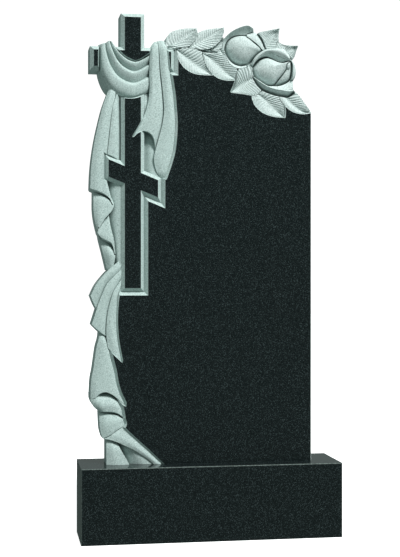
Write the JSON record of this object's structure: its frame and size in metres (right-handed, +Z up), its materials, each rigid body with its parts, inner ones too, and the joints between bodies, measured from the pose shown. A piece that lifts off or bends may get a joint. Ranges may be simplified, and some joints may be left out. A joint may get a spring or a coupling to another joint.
{
  "type": "granite headstone with a carved orthodox cross, draped cloth and rosebuds",
  "caption": "Upright stone on a plinth, its left side cut as a cross hung with a cloth and its top as a spray of leaves and rosebuds.",
  "frame": {"origin": "centre of the plinth's underside", "axes": "+Z up, -Y out of the polished face towards the viewer, +X to the viewer's right"},
  "size_m": [0.7, 0.19, 1.4003],
  "materials": {
    "carved_granite": "dark granite, polished on the cross faces and the field, light and matt where it is carved",
    "polished_granite": "near black fine-grained granite, polished"
  },
  "bodies": {
    "root": {"stele": "carved_granite", "plinth": "polished_granite"}
  },
  "joints": []
}
